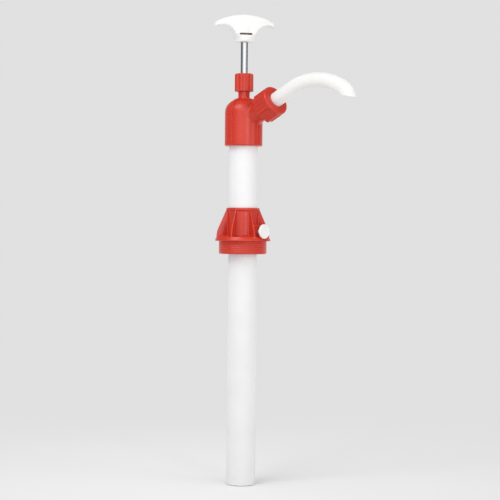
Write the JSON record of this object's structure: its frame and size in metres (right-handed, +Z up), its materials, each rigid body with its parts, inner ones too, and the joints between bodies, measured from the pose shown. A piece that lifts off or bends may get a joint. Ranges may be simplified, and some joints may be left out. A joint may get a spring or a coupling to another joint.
{
  "type": "piston drum pump",
  "caption": "Hand piston pump for a drum: a long barrel tube slides in a threaded bung adapter, and a T handle lifts a piston that sends liquid out of a bent swivel spout.",
  "frame": {"origin": "centre of the flange underside of the bung adapter, where the pump sits on the drum, on the axis of the tube", "axes": "+Z up along the tube, +X towards the spout and the clamp screw"},
  "size_m": [0.2111, 0.0696, 0.5853],
  "materials": {
    "red_plastic": "moulded polypropylene, satin gloss",
    "white_plastic": "moulded and extruded polypropylene, satin",
    "bright_steel": "bright plated steel",
    "steel": "stainless steel",
    "rubber": "black nitrile rubber"
  },
  "bodies": {
    "adapter": {"bung_adapter": "red_plastic"},
    "adapter_seal": {"adapter_seal": "rubber"},
    "barrel": {"barrel_tube": "white_plastic", "pump_head": "red_plastic", "foot_valve_seat": "white_plastic", "foot_valve_cage": "white_plastic", "rod_packing": "rubber", "spout_seal": "rubber"},
    "clamp_pad": {"clamp_pad": "white_plastic"},
    "clamp_screw": {"clamp_screw": "white_plastic"},
    "foot_ball": {"foot_valve_ball": "steel"},
    "piston_ring": {"piston_ring": "rubber"},
    "plunger": {"piston_rod": "bright_steel", "t_handle": "white_plastic", "handle_clip": "steel", "piston_body": "white_plastic", "valve_stop": "steel", "piston_washer": "steel", "piston_nut": "steel"},
    "valve_disc": {"valve_disc": "rubber"},
    "gland_follower": {"gland_follower": "white_plastic"},
    "gland_nut": {"gland_nut": "red_plastic"},
    "spout_washer": {"spout_washer": "white_plastic"},
    "spout_nut": {"spout_nut": "red_plastic"},
    "spout": {"spout_tube": "white_plastic"}
  },
  "joints": [
    {"name": "barrel_turn", "type": "hinge", "parent": "adapter", "child": "adapter_seal", "pos_m": [0, 0, 0], "axis": [0, 0, 1], "continuous": true},
    {"name": "depth_slide", "type": "slide", "parent": "adapter_seal", "child": "barrel", "axis": [0, 0, 1], "range_m": [-0.074, 0.25]},
    {"name": "clamp_travel", "type": "slide", "parent": "adapter", "child": "clamp_pad", "axis": [1, 0, 0], "range_m": [0, 0.004]},
    {"name": "clamp_turn", "type": "hinge", "parent": "clamp_pad", "child": "clamp_screw", "pos_m": [0, 0, 0.0122], "axis": [1, 0, 0], "range_deg": [0, 720]},
    {"name": "piston_stroke", "type": "slide", "parent": "barrel", "child": "piston_ring", "axis": [0, 0, 1], "range_m": [-0.0325, 0.33]},
    {"name": "handle_swivel", "type": "hinge", "parent": "piston_ring", "child": "plunger", "pos_m": [0, 0, 0], "axis": [0, 0, 1], "continuous": true},
    {"name": "valve_lift", "type": "slide", "parent": "plunger", "child": "valve_disc", "axis": [0, 0, 1], "range_m": [0, 0.0025]},
    {"name": "foot_ball_lift", "type": "slide", "parent": "barrel", "child": "foot_ball", "axis": [0, 0, 1], "range_m": [0, 0.006]},
    {"name": "gland_rise", "type": "slide", "parent": "barrel", "child": "gland_follower", "axis": [0, 0, 1], "range_m": [0, 0.004]},
    {"name": "gland_nut_turn", "type": "hinge", "parent": "gland_follower", "child": "gland_nut", "pos_m": [0, 0, 0.19], "axis": [0, 0, 1], "range_deg": [0, 720]},
    {"name": "spout_slip", "type": "slide", "parent": "barrel", "child": "spout_washer", "axis": [0.8973, 0, 0.4415], "range_m": [0, 0.006]},
    {"name": "spout_nut_turn", "type": "hinge", "parent": "spout_washer", "child": "spout_nut", "pos_m": [0, 0, 0.1472], "axis": [0.8973, 0, 0.4415], "range_deg": [0, 720]},
    {"name": "spout_swivel", "type": "hinge", "parent": "barrel", "child": "spout", "pos_m": [0, 0, 0.1472], "axis": [0.8973, 0, 0.4415], "continuous": true}
  ],
  "couplings": [
    {"joint": "clamp_travel", "follows": "clamp_turn", "m_per_rad": 0.00031831},
    {"joint": "gland_rise", "follows": "gland_nut_turn", "m_per_rad": 0.00031831},
    {"joint": "spout_slip", "follows": "spout_nut_turn", "m_per_rad": 0.00047746}
  ]
}
